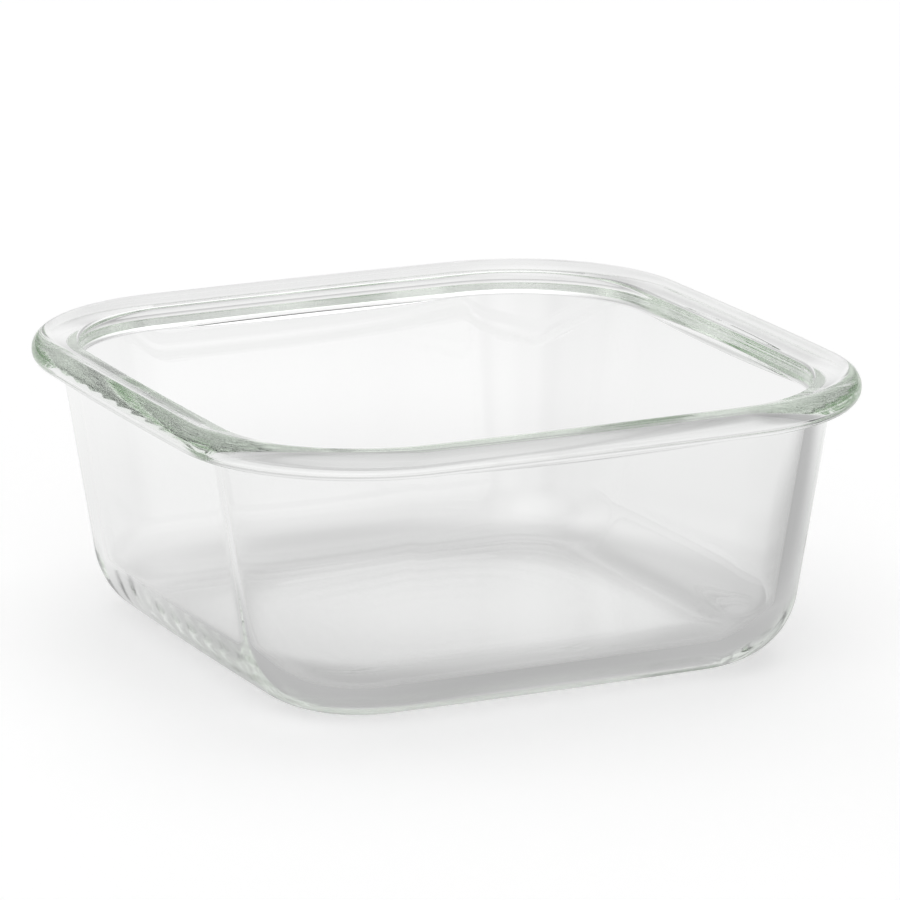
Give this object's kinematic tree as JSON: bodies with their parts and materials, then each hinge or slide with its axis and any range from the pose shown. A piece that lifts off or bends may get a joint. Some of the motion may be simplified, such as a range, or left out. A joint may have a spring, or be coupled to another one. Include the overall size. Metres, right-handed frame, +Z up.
{
  "type": "glass food storage dish",
  "caption": "Open square food storage dish in pressed clear glass, with rounded corners, leaning walls, a thick rim bead for a lid and shallow clip ledges under the rim.",
  "frame": {"origin": "centre of the base's underside", "axes": "+Z up, +X and +Y square to two neighbouring sides"},
  "size_m": [0.15, 0.15, 0.0613],
  "materials": {
    "clear_glass": "clear pressed glass, faint green in thick parts, glossy"
  },
  "bodies": {
    "root": {"glass_dish": "clear_glass"}
  },
  "joints": []
}
